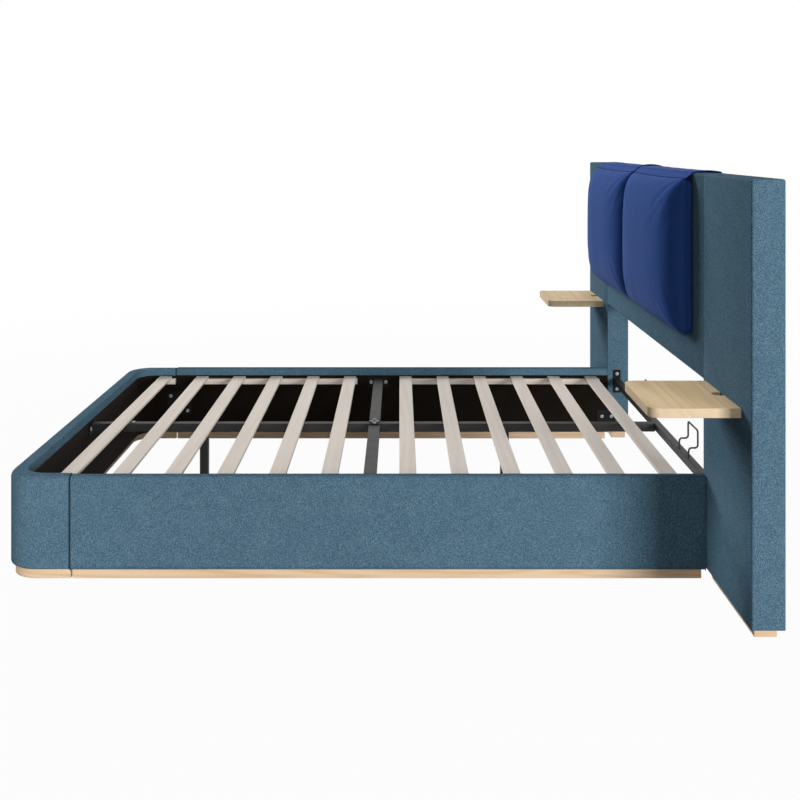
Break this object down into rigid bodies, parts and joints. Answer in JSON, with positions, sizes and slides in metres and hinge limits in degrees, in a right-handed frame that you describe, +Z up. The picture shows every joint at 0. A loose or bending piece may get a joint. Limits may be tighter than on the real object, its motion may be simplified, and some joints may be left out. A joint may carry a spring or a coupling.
{
  "type": "platform bed",
  "caption": "Upholstered slatted platform bed on a wood plinth, with a wide headboard on wings, floating bedside shelves and lift-off back cushions.",
  "frame": {"origin": "on the floor, at the centre of the overall box", "axes": "+Z up, +Y from the foot towards the headboard, +X towards the right side seen from the foot"},
  "size_m": [2.45, 2.1878, 1.2088],
  "materials": {
    "teal_fabric": "nubby boucle upholstery",
    "black_lining": "thin black felt lining",
    "cushion_leather": "smooth satin leather look",
    "plinth_wood": "clear matt lacquer",
    "shelf_oak": "clear matt lacquer",
    "ledger_wood": "planed",
    "slat_wood": "pale washed veneer",
    "core_board": "raw board",
    "black_steel": "fine black powder coat",
    "galvanised_steel": "zinc plated",
    "glide_plastic": "moulded"
  },
  "bodies": {
    "bed": {"beam_joint_plate": "black_steel", "centre_beam_foot": "black_steel", "centre_beam_head": "black_steel", "centre_leg_foot": "black_steel", "centre_leg_head": "black_steel", "cross_beam_brackets": "black_steel", "cross_beam_left": "black_steel", "cross_beam_right": "black_steel", "foot_beam_bracket": "black_steel", "foot_core": "core_board", "foot_cover": "teal_fabric", "foot_joint_plates": "black_steel", "foot_ledgers": "ledger_wood", "foot_lining": "black_lining", "foot_plinth": "plinth_wood", "frame_bolts": "galvanised_steel", "head_bar": "black_steel", "head_bar_brackets": "black_steel", "headboard_centre_core": "core_board", "headboard_centre_cover": "teal_fabric", "left_ledger_foot": "ledger_wood", "left_ledger_head": "ledger_wood", "left_rail_core": "core_board", "left_rail_cover": "teal_fabric", "left_rail_lining": "black_lining", "left_rail_plinth": "plinth_wood", "left_shelf": "shelf_oak", "left_wing_core": "core_board", "left_wing_cover": "teal_fabric", "leg_glides": "glide_plastic", "mattress_stop_left": "black_steel", "mattress_stop_right": "black_steel", "rail_head_plates": "black_steel", "right_ledger_foot": "ledger_wood", "right_ledger_head": "ledger_wood", "right_rail_core": "core_board", "right_rail_cover": "teal_fabric", "right_rail_lining": "black_lining", "right_rail_plinth": "plinth_wood", "right_shelf": "shelf_oak", "right_wing_core": "core_board", "right_wing_cover": "teal_fabric", "shelf_rods": "galvanised_steel", "slat_01": "slat_wood", "slat_02": "slat_wood", "slat_03": "slat_wood", "slat_04": "slat_wood", "slat_05": "slat_wood", "slat_06": "slat_wood", "slat_07": "slat_wood", "slat_08": "slat_wood", "slat_09": "slat_wood", "slat_10": "slat_wood", "slat_11": "slat_wood", "slat_12": "slat_wood", "wing_plinths": "plinth_wood"},
    "left_cushion": {"left_cushion": "cushion_leather", "left_cushion_flap": "cushion_leather"},
    "right_cushion": {"right_cushion": "cushion_leather", "right_cushion_flap": "cushion_leather"}
  },
  "joints": [
    {"name": "left_cushion_lift", "type": "slide", "parent": "bed", "child": "left_cushion", "axis": [0, 0, 1], "range_m": [0, 0.3]},
    {"name": "right_cushion_lift", "type": "slide", "parent": "bed", "child": "right_cushion", "axis": [0, 0, 1], "range_m": [0, 0.3]}
  ]
}
